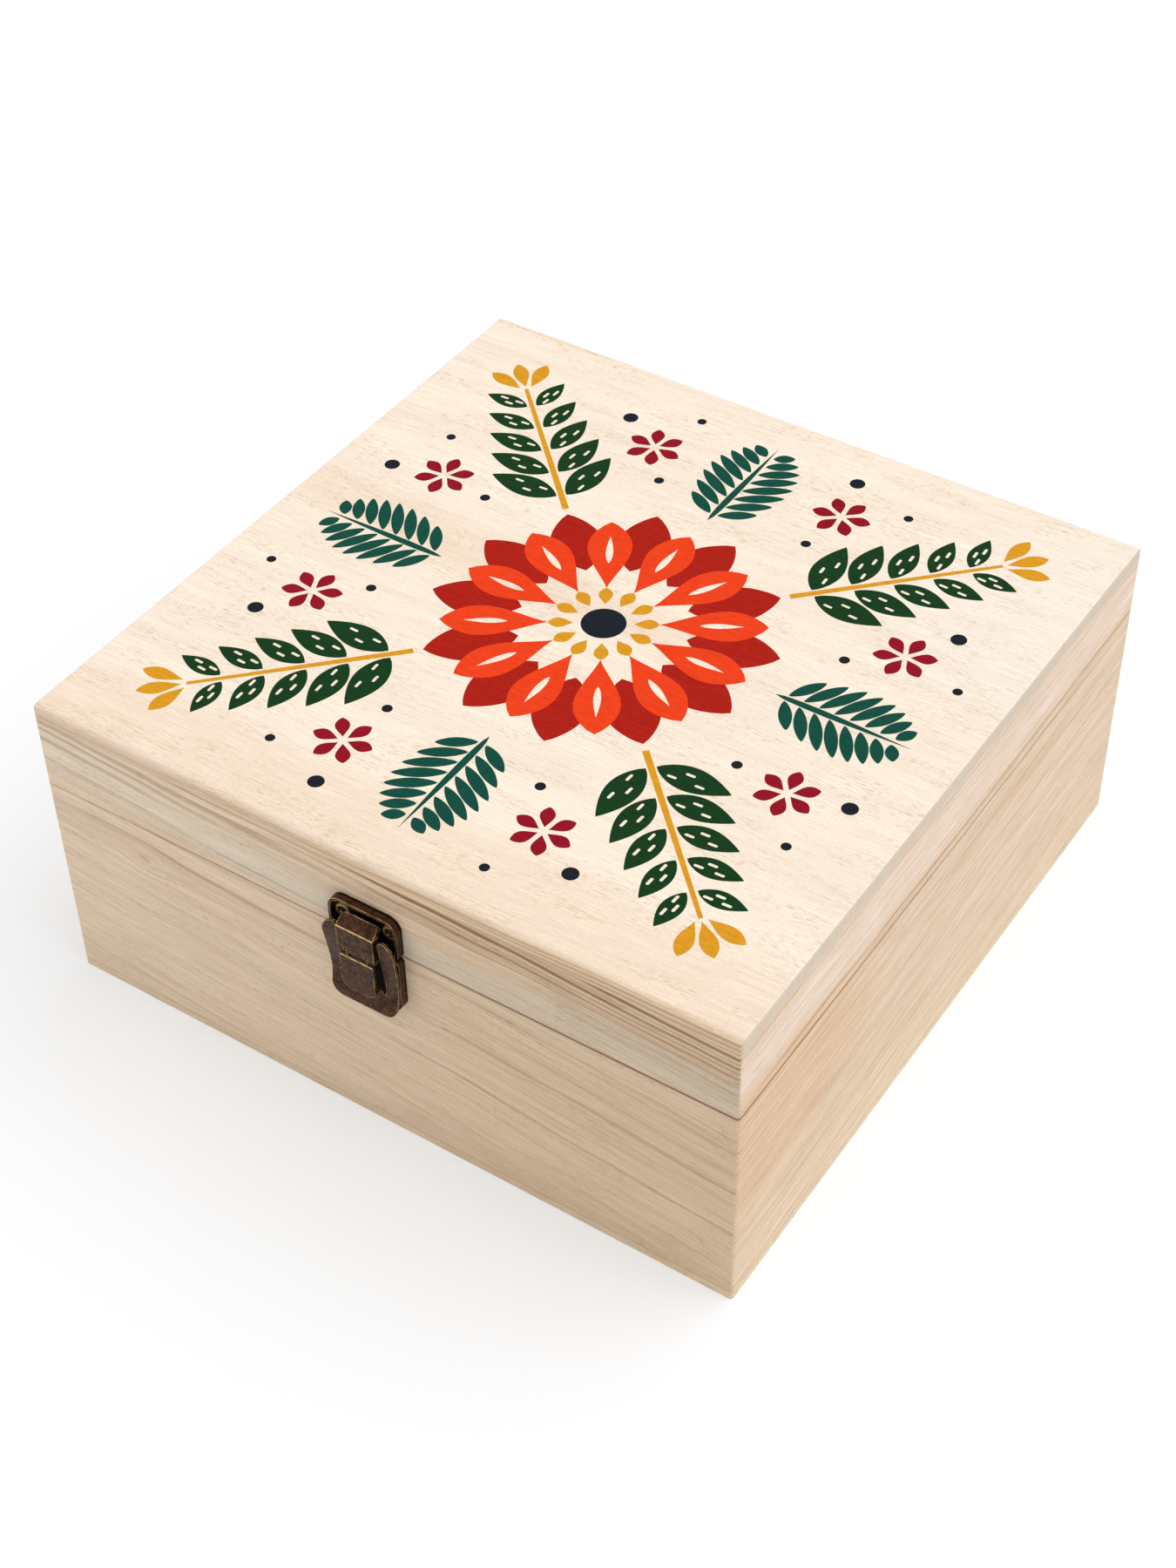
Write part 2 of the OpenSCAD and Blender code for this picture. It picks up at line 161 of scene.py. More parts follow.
class Surface(Nodes):
    """A new material with the noise, curves and relief that the looks need. Sizes are in millimetres."""

    def __init__(self, name):
        self.material = bpy.data.materials.new(name)
        self.material.use_nodes = True
        super().__init__(self.material.node_tree)
        self.shader = self.tree.nodes["Principled BSDF"]

    def place(self):
        """The object's own coordinates, as three sockets."""
        coordinates = self.node("ShaderNodeTexCoord")
        enlarged = self.node("ShaderNodeVectorMath", operation="SCALE")
        self.feed(enlarged.inputs[0], coordinates.outputs["Object"])
        enlarged.inputs["Scale"].default_value = 1 / MM
        return self.split(enlarged.outputs[0])

    def facing(self, axis):
        """How far a surface faces along an axis, from 0 to 1, on either side."""
        coordinates = self.node("ShaderNodeTexCoord")
        return self.math("ABSOLUTE", self.split(coordinates.outputs["Normal"])[axis])

    def noise(self, place, size, detail=2.0, roughness=0.5, seed=0.0):
        """Noise from 0 to 1 whose blobs are about size long on each axis."""
        shrunk = [self.times(p, 1 / s) for p, s in zip(place, size)]
        shrunk[Z] = self.add(shrunk[Z], seed)
        joined = self.node("ShaderNodeCombineXYZ")
        for socket, value in zip(joined.inputs, shrunk):
            self.feed(socket, value)
        made = self.node("ShaderNodeTexNoise")
        self.feed(made.inputs["Vector"], joined.outputs[0])
        made.inputs["Scale"].default_value = 1.0
        made.inputs["Detail"].default_value = detail
        made.inputs["Roughness"].default_value = roughness
        return made.outputs["Fac"]

    def ease(self, value, low, high, out_low=0.0, out_high=1.0):
        """Takes a value from low..high to out_low..out_high, smoothly and held at the ends."""
        made = self.node("ShaderNodeMapRange", interpolation_type="SMOOTHSTEP")
        for socket, number in zip(made.inputs, (value, low, high, out_low, out_high)):
            self.feed(socket, number)
        return made.outputs[0]

    def profile(self, value, low, high, points):
        """A curve through (value, height) points, read at value."""
        position = self.node("ShaderNodeMapRange")
        for socket, number in zip(position.inputs, (value, low, high, 0.0, 1.0)):
            self.feed(socket, number)
        curve = self.node("ShaderNodeValToRGB")
        self.feed(curve.inputs[0], position.outputs[0])
        stops = curve.color_ramp.elements
        while len(stops) < len(points):
            stops.new(0.5)
        for stop, (at, height) in zip(stops, points):
            stop.position = (at - low) / (high - low)
            stop.color = (height, height, height, 1.0)
        channels = self.node("ShaderNodeSeparateColor")
        self.feed(channels.inputs[0], curve.outputs[0])
        return channels.outputs[0]

    def bump(self, height, depth):
        """Surface relief, depth deep, from a height that runs from 0 to 1."""
        made = self.node("ShaderNodeBump")
        made.inputs["Strength"].default_value = 1.0
        made.inputs["Distance"].default_value = depth * MM
        self.feed(made.inputs["Height"], height)
        self.feed(self.shader.inputs["Normal"], made.outputs[0])

    def finish(self, colour, roughness, metallic=0.0, specular=0.5):
        self.feed(self.shader.inputs["Base Color"], colour)
        self.feed(self.shader.inputs["Roughness"], roughness)
        self.shader.inputs["Metallic"].default_value = metallic
        self.shader.inputs["Specular IOR Level"].default_value = specular
        return self.material


# The noises in the wood: blob size along the grain, across it and into the board, in millimetres, then
# detail, roughness and what is added to the wood's seed
WOOD_NOISES = {
    "bend": ((90, 26, 34), 1.5, 0.5, 0),
    "fray": ((9, 0.7, 3), 2.0, 0.5, 3),
    "uneven": ((600, 9, 50), 2.0, 0.5, 7),
    "darkness": ((160, 2.4, 40), 1.0, 0.5, 13),
    "band": ((320, 5.5, 60), 2.0, 0.5, 19),
    "fine": ((60, 0.8, 30), 2.0, 0.5, 23),
    "threads": ((18, 0.3, 0.6), 2.5, 0.65, 31),
    "pore": ((3.4, 0.3, 0.5), 1.0, 0.5, 41),
    "pore_area": ((30, 7, 9), 2.0, 0.5, 47),
    "cloud": ((150, 14, 40), 2.0, 0.5, 53),
    "end_speck": ((0.4, 0.6, 0.5), 2.0, 0.5, 61),
    "end_rings": ((30, 2.2, 8), 2.0, 0.5, 67),
    "worn": ((24, 40, 40), 3.0, 0.5, 71),
    "fuzz": ((0.9, 0.35, 0.35), 2.0, 0.7, 83),
}
# How much of the fibre's light and dark goes into red, green and blue
GRAIN_TINT = (0.8, 1.0, 1.35)
JOINT_BROWN = srgb(146, 74, 36)
# Brown of the painted shade inside the seam gap between walls and lid
GAP_SHADE_BROWN = srgb(188, 124, 80)
# Millimetres that the growth lines bend, that a streak takes to fade, that the painted shade in the seam gap
# is wide and that the pores are deep
BEND_REACH = 7.5
STREAK_FADE = 14
LIP_WIDTH, LIP_FULL = 1.1, 0.3
WOOD_RELIEF = 0.05
# Shares of the distance between two growth lines: the dark part, where it ends, and how far the lines stray
RING_SHARE = 0.3
LINE_END = 0.97
STRAY, FRAY = 3.2, 0.2
KNOT_PULL, KNOT_DARKNESS = 0.8, 0.22


def wood_noise(s, kind, place, seed):
    size, detail, roughness, shift = WOOD_NOISES[kind]
    return s.noise(place, size, detail, roughness, seed + shift)


def across_growth(s, place, tilt, fan, fan_at, dive, knots, seed):
    """The place across the growth lines, and each knot's core.

    The lines lean, spread apart and waver, and they part round each knot.
    """
    a, c, d = place
    lean = s.add(s.times(s.minus(c, fan_at), fan), tilt)
    g = s.add(s.add(c, s.times(a, lean)), s.times(s.minus(d, LID_TOP), dive))
    g = s.add(g, s.times(s.minus(wood_noise(s, "bend", place, seed), 0.5), BEND_REACH))
    cores = []
    for knot_a, knot_c, radius in knots:
        da = s.times(s.minus(a, knot_a), 1 / (4 * radius))
        dc = s.minus(c, knot_c)
        far = s.add(s.times(da, da), s.math("POWER", s.times(s.math("ABSOLUTE", dc), 0.4 / radius), 2.0))
        near = s.math("EXPONENT", s.times(far, -1.0))
        g = s.minus(g, s.times(s.times(dc, near), KNOT_PULL))
        cores.append(s.ease(near, 0.86, 1.0))
    return g, cores


def growth_lines(s, place, fray, spacing, line_share, seed):
    """Dark lines at uneven distances, each with its own darkness and a fibrous edge, over soft bands."""
    uneven = wood_noise(s, "uneven", place, seed)
    ring = s.total([s.times(place[1], 1 / spacing), s.times(uneven, STRAY), s.times(fray, FRAY)])
    saw = s.math("FRACT", ring)
    rise = s.ease(saw, 1 - RING_SHARE, LINE_END)
    fall = s.ease(saw, LINE_END, 1.0, 1.0, 0.0)
    darkness = s.ease(wood_noise(s, "darkness", place, seed), 0.36, 0.66, 0.12, 1.0)
    line = s.times(s.times(rise, fall), darkness)
    band = s.ease(wood_noise(s, "band", place, seed), 0.45, 0.75, 0.0, 0.45)
    fine = s.ease(wood_noise(s, "fine", place, seed), 0.5, 0.72, 0.0, 0.35)
    return s.total([s.times(line, line_share), band, fine])


def streak_line(s, place, fray, at, start, end, width, share):
    """One dark line along the grain that fades out at its two ends."""
    a, g, _ = place
    off = s.apart(s.add(g, s.times(fray, 0.8)), at + 0.4)
    core = s.ease(off, width * 0.3, width, share, 0.0)
    fade_in = s.ease(a, start - STREAK_FADE, start + STREAK_FADE)
    fade_out = s.ease(a, end - STREAK_FADE, end + STREAK_FADE, 1.0, 0.0)
    return s.times(core, s.times(fade_in, fade_out))


def wood(name, along, across, pale, brown, zones, span, seed, tilt=0.0, fan=0.0, fan_at=0.0, dive=0.0,
         spacing=4.5, line_share=1.0, streaks=(), knots=(), patches=(), joints=(), drift=None, fibre=0.16,
         pores=0.35, gap_shade=(0.0, 0.0), end_colour=None):
    """Planed wood whose grain runs along one axis and whose growth lines repeat across another.

    zones gives how strong the growth lines are at each place across, within span. A streak is (place across,
    from, to, width, strength) and runs along the grain. A knot is (along, across, radius). A patch is (along,
    across, reach along, reach across, colour, strength). A joint is (place across, width, strength at the
    start and at the end of the grain): a dark line on the faces that don't look up or down. tilt is how
    far the growth lines move across for each millimetre along, fan is how fast that grows away from fan_at,
    and dive is the same for each millimetre under the top of the box. drift is how bright the wood is at the
    two ends of the grain, and lip gives how strongly painted shade browns the outer millimetre of the faces
    that look up or down there, which sit inside the seam gap. fibre, pores and line_share are how strong the
    fibre, the pores and the growth lines show.
    """
    s = Surface(name)
    point = s.place()
    a, c, d = point[along], point[across], point[3 - along - across]
    plain = (a, c, d)
    g, cores = across_growth(s, plain, tilt, fan, fan_at, dive, knots, seed)
    grown = (a, g, d)

    # How dark the lines, streaks, pores and knots make each place
    fray = wood_noise(s, "fray", grown, seed)
    lines = growth_lines(s, grown, fray, spacing, line_share, seed)
    dark = [s.times(lines, s.profile(g, *span, zones))]
    dark += [streak_line(s, grown, fray, *streak) for streak in streaks]
    threads = wood_noise(s, "threads", grown, seed)
    pore_area = s.ease(wood_noise(s, "pore_area", plain, seed), 0.4, 0.62)
    pore_dark = s.times(s.ease(wood_noise(s, "pore", grown, seed), 0.58, 0.7), pore_area)
    dark.append(s.times(pore_dark, pores))
    dark += [s.times(core, KNOT_DARKNESS) for core in cores]
    amount = s.math("MINIMUM", s.total(dark), 1.0)

    # Broad changes of tone, then the dark places, then the fibre
    cloud = wood_noise(s, "cloud", grown, seed)
    colour = s.mix(s.ease(cloud, 0.3, 0.7), scaled(pale, 0.965), scaled(pale, 1.03))
    for patch_a, patch_c, reach_a, reach_c, tint, share in patches:
        da = s.times(s.minus(a, patch_a), 1 / reach_a)
        dc = s.times(s.minus(g, patch_c), 1 / reach_c)
        far = s.add(s.times(da, da), s.times(dc, dc))
        colour = s.mix(s.ease(far, 0.15, 1.0, share, 0.0), colour, tint)
    colour = s.mix(amount, colour, brown)
    fuzz = wood_noise(s, "fuzz", plain, seed)
    grain = s.times(s.ease(threads, 0.25, 0.75, 1 - fibre, 1 + fibre), s.ease(fuzz, 0.3, 0.7, 0.95, 1.05))
    if drift is not None:
        grain = s.times(grain, s.ease(a, -HALF_WIDTH, HALF_WIDTH, *drift))
    grain_colour = s.node("ShaderNodeCombineColor")
    for socket, share in zip(grain_colour.inputs, GRAIN_TINT):
        s.feed(socket, s.add(s.times(s.minus(grain, 1.0), share), 1.0))
    colour = s.mix(1.0, colour, grain_colour.outputs[0], mode="MULTIPLY")

    # Joints, painted shade inside the seam gap, and end grain
    upright = s.ease(s.facing(Z), 0.5, 0.8, 1.0, 0.0)
    for at, width, start, end in joints:
        worn = s.ease(wood_noise(s, "worn", plain, seed), 0.3, 0.62, 0.6, 1.0)
        strong = s.ease(a, -HALF_WIDTH, HALF_WIDTH, start, end)
        line = s.ease(s.apart(c, at), width * 0.25, width, 1.0, 0.0)
        colour = s.mix(s.product(line, strong, worn, upright), colour, JOINT_BROWN)
    # Painted shade: the outer millimetre of the faces that look up or down, which sit inside the seam gap, is
    # browned so the gap looks dark and red-brown
    if any(gap_shade):
        outer = s.ease(s.math("ABSOLUTE", d), HALF_WIDTH - LIP_WIDTH, HALF_WIDTH - LIP_FULL)
        strong = s.ease(a, -HALF_WIDTH, HALF_WIDTH, *gap_shade)
        colour = s.mix(s.product(outer, s.minus(1.0, upright), strong), colour, GAP_SHADE_BROWN)
    if end_colour is not None:
        speck = s.ease(wood_noise(s, "end_speck", plain, seed), 0.5, 0.7, 0.0, 0.4)
        rings = s.ease(wood_noise(s, "end_rings", plain, seed), 0.5, 0.7, 0.0, 0.2)
        ends = s.mix(s.add(speck, rings), end_colour, brown)
        colour = s.mix(s.ease(s.facing(along), 0.55, 0.8), colour, ends)

    s.bump(s.add(s.times(threads, 0.6), s.times(pore_dark, -0.9)), WOOD_RELIEF)
    return s.finish(colour, s.ease(threads, 0.2, 0.8, 0.62, 0.5), specular=0.3)


BRONZE_DARK = srgb(48, 31, 22)
BRONZE_LIGHT = srgb(98, 65, 48)
# Painted shade for the recessed floors of the dished plates
BRONZE_RECESS_SHADE = srgb(14, 10, 7)
# Colour of worn edges and of the painted highlights on the metal
BRONZE_WORN_AND_HIGHLIGHT = srgb(236, 200, 138)
# Sizes in the plating, in millimetres
MOTTLE_SIZE = (2.6, 2.6, 2.6)
GRIT_SIZE = (0.9, 0.9, 0.9)
EDGE_RADIUS = 0.45
METAL_RELIEF = 0.09


def ring_highlight(s, point, x, z, radius):
    """A painted highlight: a bright line round a nail, or a bright spot where the radius is 0, weaker on its
    lower side as if lit from above.
    """
    dx = s.minus(point[X], x)
    dz = s.minus(point[Z], z)
    away = s.math("SQRT", s.add(s.times(dx, dx), s.times(dz, dz)))
    outside = s.ease(s.apart(away, radius), 0.2, 0.45)
    above = s.ease(dz, -radius - 0.5, 0.0, 0.2, 1.0)
    return s.product(s.minus(1.0, outside), above)


def bronze(name, dark=BRONZE_DARK, light=BRONZE_LIGHT, worn=BRONZE_WORN_AND_HIGHLIGHT, wear_and_highlight_share=1.0, seed=0.0, rings=(),
           ridge_wear_and_highlight=None, deep=None):
    """Stamped steel with an antique bronze plating: mottled, worn bright along its edges, with painted
    highlights that are strongest where the edges face up.

    A ring is (x, z, radius): a painted highlight round a nail, or a spot of it where the radius is 0. ridge
    is the height of a line that is partly worn bright and partly painted highlight, and how far it reaches to
    each side of the middle. deep is how far in front of the wall the floor of a dished piece ends, darkened
    there with painted shade.
    """
    s = Surface(name)
    point = s.place()
    mottle = s.noise(point, MOTTLE_SIZE, detail=4.0, roughness=0.6, seed=seed)
    grit = s.noise(point, GRIT_SIZE, detail=4.0, roughness=0.8, seed=seed + 9)
    colour = s.mix(s.ease(mottle, 0.32, 0.7), dark, scaled(light, 0.8))
    colour = s.mix(s.ease(grit, 0.5, 0.62, 0.0, 0.85), colour, light)
    colour = s.mix(s.ease(grit, 0.47, 0.36, 0.0, 0.75), colour, scaled(dark, 0.6))
    # Painted shade: the floor of a dished plate, set back behind its rim, is darkened
    if deep is not None:
        outward = s.minus(s.times(point[Y], -1.0), HALF_WIDTH)
        colour = s.mix(s.ease(outward, deep, deep + 0.5, 0.85, 0.0), colour, BRONZE_RECESS_SHADE)

    # Edges are where the rounded and the plain surface face different ways
    rounded = s.node("ShaderNodeBevel", samples=8)
    rounded.inputs["Radius"].default_value = EDGE_RADIUS * MM
    flat = s.node("ShaderNodeNewGeometry")
    likeness = s.node("ShaderNodeVectorMath", operation="DOT_PRODUCT")
    s.feed(likeness.inputs[0], rounded.outputs[0])
    s.feed(likeness.inputs[1], flat.outputs["Normal"])
    edge = s.ease(likeness.outputs["Value"], 0.975, 0.88, 0.0, 1.0)
    # Painted highlight: edges that face up are brightened more, as if lit from above
    highlight_from_above = s.ease(s.split(rounded.outputs[0])[Z], 0.1, 0.5, 0.6, 1.0)
    wear_and_highlight = s.product(edge, highlight_from_above, s.ease(mottle, 0.4, 0.55, 0.35, 1.0))
    # Painted highlights: arcs round the nails and spots on their tops
    for ring in rings:
        wear_and_highlight = s.math("MAXIMUM", wear_and_highlight, ring_highlight(s, point, *ring))
    # A line at one height near the middle, partly worn bright and partly painted highlight
    if ridge_wear_and_highlight is not None:
        height, reach = ridge_wear_and_highlight
        line = s.ease(s.apart(point[Z], height), 0.15, 0.35, 0.9, 0.0)
        within = s.ease(s.math("ABSOLUTE", point[X]), reach - 0.4, reach, 1.0, 0.0)
        wear_and_highlight = s.math("MAXIMUM", wear_and_highlight, s.product(line, within, s.ease(mottle, 0.4, 0.55, 0.6, 1.0)))
    # Worn edges and painted highlights take the worn colour
    colour = s.mix(s.times(wear_and_highlight, wear_and_highlight_share), colour, worn)
    s.bump(s.add(s.times(grit, 0.8), mottle), METAL_RELIEF)
    return s.finish(colour, s.ease(grit, 0.3, 0.7, 0.5, 0.36), metallic=0.75, specular=0.1)


# Sizes in the ink along the grain, across it and into the lid, in millimetres
INK_THREAD = (14, 0.35, 1)
INK_BLOTCH = (3.0, 1.2, 2)
INK_RELIEF = 0.04


def ink(name, colour, seed):
    """Printing ink on bare wood: flat colour with the wood's fibre just showing through."""
    s = Surface(name)
    point = s.place()
    threads = s.noise(point, INK_THREAD, detail=2.0, roughness=0.6, seed=seed)
    blotch = s.noise(point, INK_BLOTCH, detail=3.0, roughness=0.6, seed=seed + 7)
    deep = scaled(colour, 0.8)
    clear = scaled([value + 0.005 for value in colour], 1.12)
    tone = s.add(s.times(s.ease(threads, 0.25, 0.75), 0.6), s.times(s.ease(blotch, 0.3, 0.7), 0.4))
    s.bump(threads, INK_RELIEF)
    return s.finish(s.mix(tone, deep, clear), 0.75, specular=0.08)


def dress(material, *names):
    """Gives CAD nodes a material."""
    for name in names:
        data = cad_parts[name].data
        data.materials.clear()
        data.materials.append(material)


# Woods of the walls and of the lid's rails
FRONT_PALE = srgb(245, 220, 189)
FRONT_BROWN = srgb(164, 118, 80)
SIDE_PALE = srgb(238, 215, 187)
SIDE_BROWN = srgb(198, 134, 86)
PINKISH = srgb(248, 226, 207)
PEACH = srgb(234, 196, 158)
GREYED = srgb(233, 217, 195)
LID_PALE = srgb(254, 238, 212)
WALL_SPAN = (0, 114)
SEAM_LINE = (SEAM - 0.2, 0.8)
PANEL_LINE = (3.2, 0.6)

front_zones = [(0, 0.4), (10, 0.2), (30, 0.26), (50, 0.4), (80, 0.42), (86, 0.15), (96, 0.2), (102, 0.6),
               (110, 0.65), (114, 0.6)]
front_streaks = [(104.0, 0, 150, 0.9, 0.54), (106.0, 15, 150, 0.7, 0.42), (108.0, 0, 150, 1.0, 0.58),
                 (110.0, -10, 150, 0.7, 0.45), (112.0, 5, 150, 1.1, 0.6), (114.2, -20, 150, 0.8, 0.48),
                 (116.4, 40, 150, 1.0, 0.55), (101.2, 30, 150, 0.7, 0.3), (98.2, 50, 150, 0.6, 0.24),
                 (108.6, -40, 85, 1.1, 0.42), (104.9, -30, 70, 0.8, 0.36), (101.4, -50, 40, 1.3, 0.3),
                 (107.0, -150, -10, 1.0, 0.42), (103.0, -150, -30, 1.6, 0.4), (99.6, -150, -60, 0.9, 0.42),
                 (95.6, -150, -80, 1.2, 0.34), (87.4, -150, -70, 0.8, 0.3), (86, -120, -20, 0.6, 0.3),
                 (78, -90, 60, 0.9, 0.28), (69, -110, 0, 1.0, 0.3), (60, 20, 150, 1.0, 0.32),
                 (41, 0, 150, 0.9, 0.35), (6, 60, 150, 1.2, 0.3)]
front_patches = [(0, 88.5, 120, 8, GREYED, 0.8), (130, 95, 100, 8, GREYED, 0.8),
                 (-125, 94, 130, 13, LID_PALE, 0.5), (150, 114, 110, 12, LID_PALE, 0.25)]
front_wood = wood("front_wood", X, Z, FRONT_PALE, FRONT_BROWN, front_zones, WALL_SPAN, seed=3.0,
                  tilt=0.055, fan=-0.0007, fan_at=SEAM, line_share=0.5, drift=(1.055, 0.865),
                  streaks=front_streaks, knots=[(-88, 68.5, 2.2)], patches=front_patches,
                  joints=[(*SEAM_LINE, 0.0, 0.95), (*PANEL_LINE, 0.25, 0.25)], gap_shade=(0.0, 0.5))
back_wood = wood("back_wood", X, Z, FRONT_PALE, FRONT_BROWN, [(0, 0.35), (40, 0.5), (70, 0.25), (100, 0.5)],
                 WALL_SPAN, seed=8.0, tilt=-0.03, fan=0.0004, fan_at=60, line_share=0.6,
                 joints=[(*SEAM_LINE, 0.7, 0.4), (*PANEL_LINE, 0.25, 0.25)], gap_shade=(0.3, 0.3))
right_zones = [(0, 0.4), (40, 0.35), (70, 0.55), (84, 0.5), (88, 0.5), (93, 0.22), (108, 0.25)]
right_wood = wood("right_wood", Y, Z, SIDE_PALE, SIDE_BROWN, right_zones, WALL_SPAN, seed=14.0,
                  tilt=-0.02, fan=0.0006, fan_at=SEAM, spacing=3.2, fibre=0.21,
                  streaks=[(87, -110, 125, 0.9, 0.55), (85.5, -60, 125, 0.6, 0.35)],
                  patches=[(-115, 66, 85, 34, PEACH, 0.7), (0, 98, 260, 12, PINKISH, 0.85)],
                  joints=[(*SEAM_LINE, 1.0, 0.15), (*PANEL_LINE, 0.25, 0.2)], gap_shade=(0.5, 0.1))
left_wood = wood("left_wood", Y, Z, SIDE_PALE, SIDE_BROWN, [(0, 0.35), (30, 0.5), (60, 0.25), (108, 0.45)],
                 WALL_SPAN, seed=21.0, tilt=0.03, fan=-0.0004, fan_at=50, spacing=3.6, line_share=0.7,
                 joints=[(*SEAM_LINE, 0.3, 0.7), (*PANEL_LINE, 0.25, 0.25)], gap_shade=(0.15, 0.35))
panel_wood = wood("panel_wood", X, Y, srgb(240, 217, 184), srgb(196, 160, 118),
                  [(-125, 0.35), (0, 0.2), (125, 0.4)], (-125, 125), seed=33.0, tilt=0.02)
dress(front_wood, "front_wall", "lid_front_rail")
dress(back_wood, "back_wall", "lid_back_rail")
dress(right_wood, "right_wall", "lid_right_rail")
dress(left_wood, "left_wall", "lid_left_rail")
dress(panel_wood, "bottom_panel")

# Woods of the lid's three boards, whose front and back edges look like the rails under them
TOP_PALE = srgb(254, 237, 218)
TOP_BROWN = srgb(226, 184, 142)
COOL = srgb(254, 242, 230)
END_GRAIN = srgb(224, 210, 192)
BOARD_SPAN = (-132, 132)

board_looks = {
    "lid_board_front": dict(
        seed=40.0, tilt=-0.02, dive=1.0,
        zones=[(-131, 0.8), (-125.5, 0.8), (-123.5, 0.25), (-100, 0.14), (-28, 0.15)],
        patches=[(0, -131, 500, 7, FRONT_PALE, 0.95), (140, -128.9, 140, 0.8, FRONT_BROWN, 0.6),
                 (150, -130.8, 170, 0.8, FRONT_BROWN, 0.6), (30, -127.4, 100, 0.6, FRONT_BROWN, 0.5),
                 (-70, -126.2, 90, 0.9, FRONT_BROWN, 0.28), (0, -116, 260, 26, PEACH, 0.25)]),
    "lid_board_middle": dict(
        seed=47.0, tilt=0.03,
        zones=[(-28, 0.22), (0, 0.14), (21, 0.22)],
        patches=[(-60, 8, 120, 16, PEACH, 0.25)]),
    "lid_board_back": dict(
        seed=55.0, tilt=-0.015, dive=-1.0,
        zones=[(21, 0.12), (60, 0.12), (123, 0.25), (126, 0.6), (131, 0.6)],
        patches=[(0, 131, 500, 7, FRONT_PALE, 0.9), (130, 70, 90, 60, COOL, 0.6)]),
}
for node, look in board_looks.items():
    board_wood = wood(node + "_wood", X, Y, TOP_PALE, TOP_BROWN, span=BOARD_SPAN, fibre=0.13, pores=0.8,
                      line_share=0.45, end_colour=END_GRAIN, **look)
    dress(board_wood, node)

# Metals. The catch plate's two nails are round, so their box gives the places of their middles.
nail_low, nail_high = [[side / MM for side in corner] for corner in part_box("catch_plate_nails")]
NAIL_Z = (nail_low[Z] + nail_high[Z]) / 2
NAIL_X = nail_high[X] - (nail_high[Z] - nail_low[Z]) / 2
NAIL_DARK = srgb(28, 20, 15)
NAIL_LIGHT = srgb(80, 60, 44)
# Colour of the nails' worn edges and of their painted highlight spots
NAIL_WORN_AND_HIGHLIGHT = srgb(255, 236, 200)
PIN_COLOURS = srgb(70, 62, 56), srgb(120, 110, 100), srgb(190, 180, 165)
# How far in front of the wall the painted shade on the dished plates' floors ends, in millimetres
DISH_DEPTH = 1.0
link_low, link_high = [corner[Z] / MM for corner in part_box("hook_link")]

aged_bronze = bronze("aged_bronze")
# The catch plate gets a painted highlight arc round each nail
catch_bronze = bronze("catch_bronze", seed=2.0, deep=DISH_DEPTH,
                      rings=[(-NAIL_X, NAIL_Z, 2.2), (NAIL_X, NAIL_Z, 2.2)])
base_bronze = bronze("base_bronze", seed=6.0, deep=DISH_DEPTH)
# Along the link's crest and the top edge of the lever's tongue: a line partly worn bright, partly painted
# highlight
link_bronze = bronze("link_bronze", seed=3.0, ridge_wear_and_highlight=(link_high - 2.8, 7.0))
lever_bronze = bronze("lever_bronze", seed=7.0, ridge_wear_and_highlight=(link_low - 0.75, 5.9))
nail_bronze = bronze("nail_bronze", NAIL_DARK, NAIL_LIGHT, wear_and_highlight_share=0.7, seed=4.0)
# The catch plate's nails get a painted highlight spot on top
catch_nail_bronze = bronze("catch_nail_bronze", NAIL_DARK, NAIL_LIGHT, NAIL_WORN_AND_HIGHLIGHT, wear_and_highlight_share=0.8, seed=5.0,
                           rings=[(-NAIL_X, NAIL_Z, 0.0), (NAIL_X, NAIL_Z, 0.0)])
pin_steel = bronze("pin_steel", *PIN_COLOURS, wear_and_highlight_share=0.4, seed=8.0)
dress(catch_bronze, "catch_plate")
dress(link_bronze, "hook_link")
dress(base_bronze, "latch_base_plate")
dress(lever_bronze, "latch_lever")
dress(aged_bronze, "hinge_left_body_leaf", "hinge_left_lid_leaf")
dress(aged_bronze, "hinge_right_body_leaf", "hinge_right_lid_leaf")
dress(catch_nail_bronze, "catch_plate_nails")
dress(nail_bronze, "latch_base_nails", "lever_rivets", "hinge_body_screws", "hinge_lid_screws")
dress(pin_steel, "link_pin", "hinge_left_pin", "hinge_right_pin")

# The print on the lid: a rosette with sprigs, fronds, blossoms and dots. Outlines are in millimetres.
INK_UNDER = 0.01
INK_OVER = 0.03
LAYER = 0.015
TURN = 2 * math.pi


def turned(points, angle, radius=0.0):
    """Points drawn along +X, moved out by radius and turned about the middle of the lid."""
    cos, sin = math.cos(angle), math.sin(angle)
    return [((x + radius) * cos - y * sin, (x + radius) * sin + y * cos) for x, y in points]


def shifted(points, x, y=0.0):
    return [(px + x, py + y) for px, py in points]


def disc(radius, count=36):
    return [(radius * math.cos(t), radius * math.sin(t)) for t in (i * TURN / count for i in range(count))]


def petal(length, width, belly=0.5, point=1.0, count=18):
    """A closed outline from (0, 0) to (length, 0), widest at belly and rounder at its tip as point falls."""
    power = math.log(0.5) / math.log(belly)
    upper = []
    for i in range(1, count):
        t = i / count
        swell = math.sin(math.pi * t ** power) ** point
        upper.append((length * t, width / 2 * swell))
    lower = [(x, -y) for x, y in reversed(upper)]
    return [(0.0, 0.0)] + upper + [(length, 0.0)] + lower


def dash(length, width, count=6):
    """A short stroke with round ends, centred on (0, 0) and drawn along +X."""
    reach = length / 2 - width / 2
    right = [(reach + width / 2 * math.cos(t), width / 2 * math.sin(t))
             for t in (-math.pi / 2 + i * math.pi / count for i in range(count + 1))]
    return right + [(-x, -y) for x, y in right]


